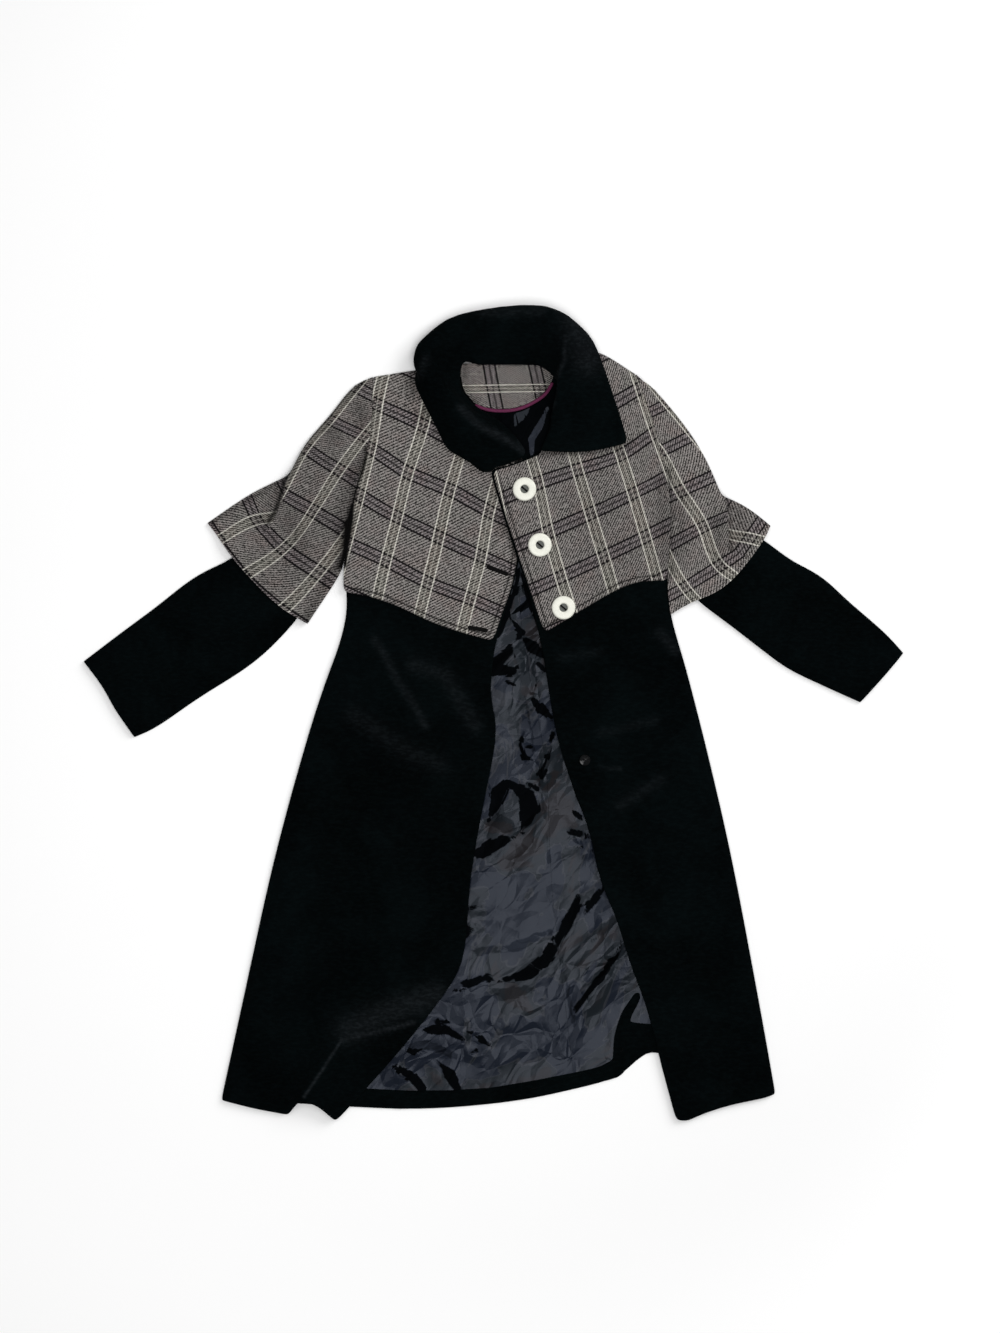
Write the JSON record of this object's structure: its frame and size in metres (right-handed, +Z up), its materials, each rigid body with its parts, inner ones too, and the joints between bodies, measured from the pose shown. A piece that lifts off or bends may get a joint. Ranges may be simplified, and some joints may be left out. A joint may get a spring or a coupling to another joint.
{
  "type": "coat with tweed capelet laid flat",
  "caption": "Long A-line velvet coat with a plaid tweed capelet, flared cape sleeves and a wide rolled collar, laid flat on its back with its front open.",
  "frame": {"origin": "middle of the coat's box, on the surface that it lies on", "axes": "+Z up out of the surface, +Y from the hem to the collar, +X to the right as seen from above"},
  "size_m": [1.179, 1.1728, 0.0363],
  "materials": {
    "velvet": "black cotton velvet with a soft short nap",
    "tweed": "salt-and-pepper wool tweed with a white and black windowpane plaid",
    "lining": "creased dark blue-grey satin",
    "piping": "plum satin cord",
    "ring_button": "polished cream resin with a dark well",
    "small_button": "polished black resin"
  },
  "bodies": {
    "root": {"cape_back": "tweed", "cape_front_left": "tweed", "cape_front_right": "tweed", "cape_sleeve_top_left": "tweed", "cape_sleeve_under_left": "tweed", "cape_sleeve_top_right": "tweed", "cape_sleeve_under_right": "tweed", "coat_back": "velvet", "coat_front_left": "velvet", "coat_front_right": "velvet", "coat_sleeve_top_left": "velvet", "coat_sleeve_under_left": "velvet", "coat_sleeve_top_right": "velvet", "coat_sleeve_under_right": "velvet", "back_lining_left": "lining", "back_lining_right": "lining", "back_hem_band": "velvet", "neck_facing": "tweed", "neck_piping": "piping", "collar": "velvet", "button_top": "ring_button", "button_middle": "ring_button", "button_low": "ring_button", "button_small": "small_button"}
  },
  "joints": []
}
